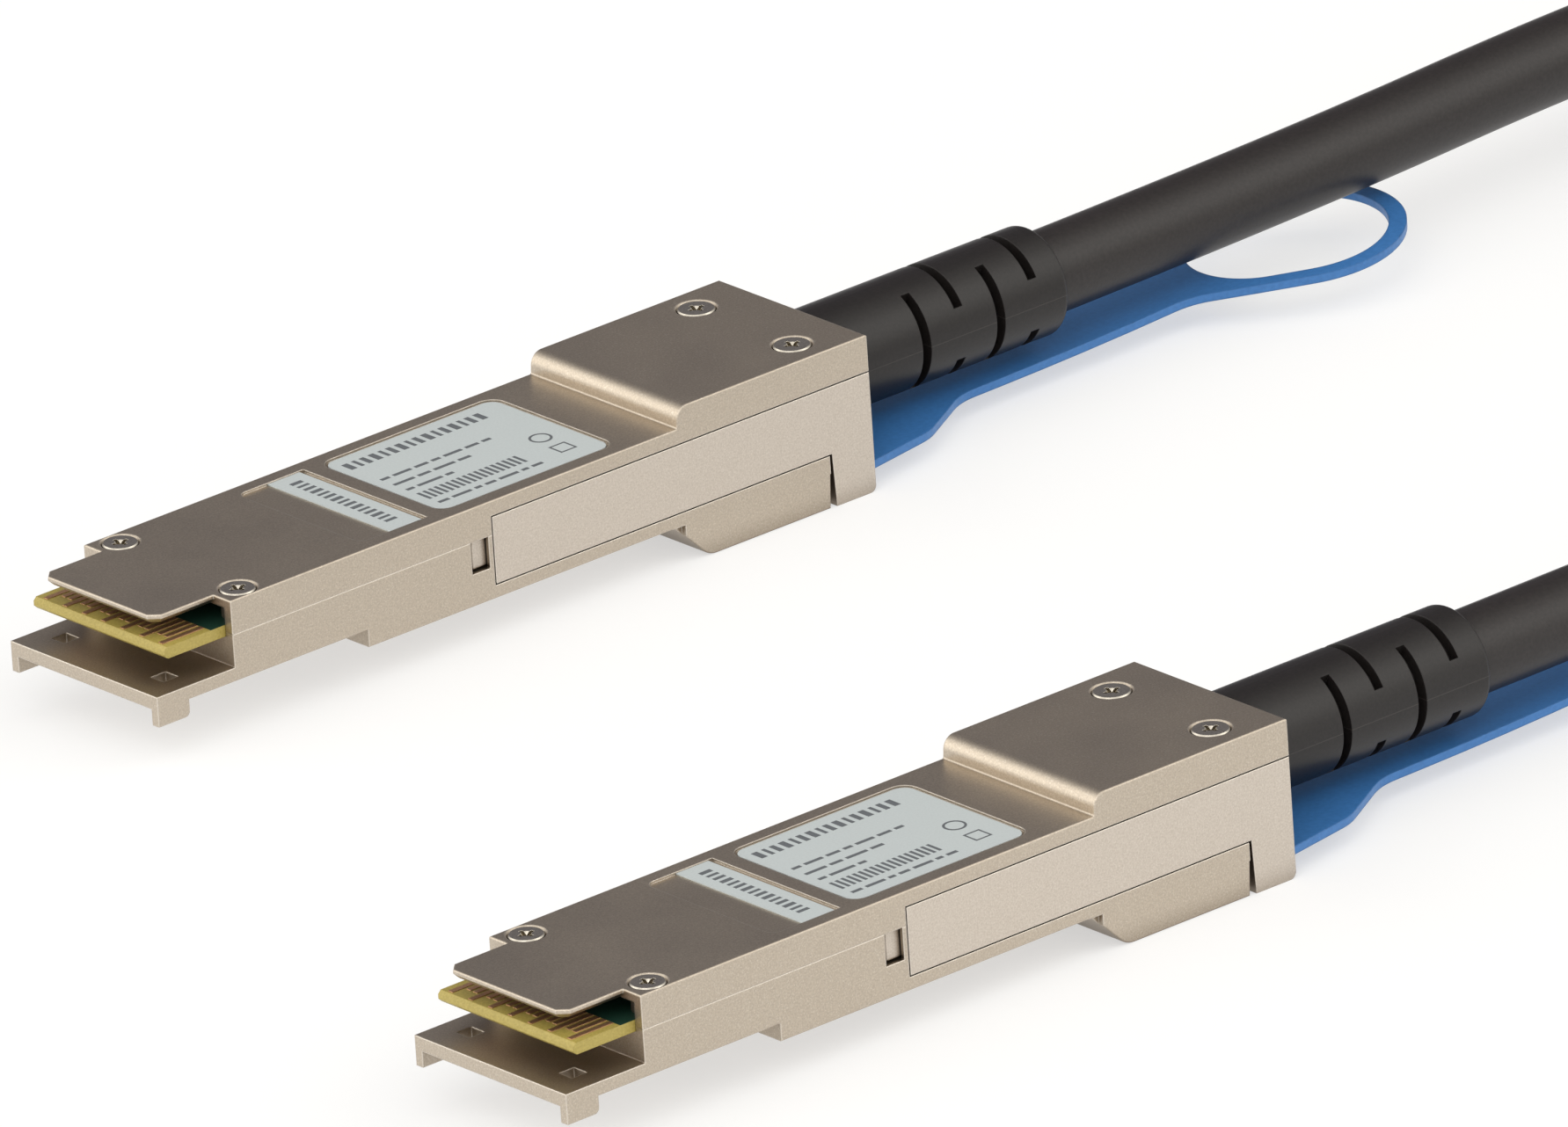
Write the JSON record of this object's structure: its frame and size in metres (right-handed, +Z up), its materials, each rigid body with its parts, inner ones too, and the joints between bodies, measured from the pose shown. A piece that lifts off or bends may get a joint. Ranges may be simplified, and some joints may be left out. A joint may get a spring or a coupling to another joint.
{
  "type": "direct attach copper cable",
  "caption": "Half-metre copper cable with a pluggable four-lane metal module at each end, each with a spring-loaded release slider and a blue finger loop.",
  "frame": {"origin": "middle of the footprint of the two plugs with their pull tabs, on the surface they rest on; the cable is left out of it", "axes": "+X from the noses of both plugs back towards the cable's loop, +Z up, +Y from the set-back plug (end b) to the other (end a)"},
  "size_m": [0.318, 0.1066, 0.0137],
  "materials": {
    "cast_nickel": "fine blasted zinc casting with satin nickel plating",
    "blue_tab": "satin blue elastomer",
    "board_laminate": "green solder mask over yellow glass laminate",
    "gold_contacts": "gold-plated contacts",
    "black_package": "moulded package",
    "ceramic": "brown ceramic with tinned ends",
    "pair_foil": "foil-wrapped pairs",
    "spring_steel": "drawn spring wire",
    "ferrule_steel": "turned ferrule",
    "black_jacket": "matte black jacket and boot",
    "screw_steel": "nickel-plated screws",
    "label": "pale grey film label"
  },
  "bodies": {
    "plugs_and_cable": {"end_a_lower_shell": "cast_nickel", "end_a_upper_shell": "cast_nickel", "end_a_circuit_board": "board_laminate", "end_a_contact_pads": "gold_contacts", "end_a_memory_chip": "black_package", "end_a_coupling_capacitors": "ceramic", "end_a_twinax_pairs": "pair_foil", "end_a_return_springs": "spring_steel", "end_a_cable_ferrule": "ferrule_steel", "end_a_strain_relief_boot": "black_jacket", "end_a_front_screws": "screw_steel", "end_a_rear_screws": "screw_steel", "end_a_main_label": "label", "end_a_small_label": "label", "end_b_lower_shell": "cast_nickel", "end_b_upper_shell": "cast_nickel", "end_b_circuit_board": "board_laminate", "end_b_contact_pads": "gold_contacts", "end_b_memory_chip": "black_package", "end_b_coupling_capacitors": "ceramic", "end_b_twinax_pairs": "pair_foil", "end_b_return_springs": "spring_steel", "end_b_cable_ferrule": "ferrule_steel", "end_b_strain_relief_boot": "black_jacket", "end_b_front_screws": "screw_steel", "end_b_rear_screws": "screw_steel", "end_b_main_label": "label", "end_b_small_label": "label", "cable": "black_jacket"},
    "slider_a": {"end_a_release_slider": "cast_nickel", "end_a_pull_tab": "blue_tab"},
    "slider_b": {"end_b_release_slider": "cast_nickel", "end_b_pull_tab": "blue_tab"}
  },
  "joints": [
    {"name": "release_slide_a", "type": "slide", "parent": "plugs_and_cable", "child": "slider_a", "axis": [1, 0, 0], "range_m": [0, 0.0025], "stiffness_N_per_m": 600, "springref_m": -0.001, "deforming": ["end_a_return_springs"]},
    {"name": "release_slide_b", "type": "slide", "parent": "plugs_and_cable", "child": "slider_b", "axis": [1, 0, 0], "range_m": [0, 0.0025], "stiffness_N_per_m": 600, "springref_m": -0.001, "deforming": ["end_b_return_springs"]}
  ]
}
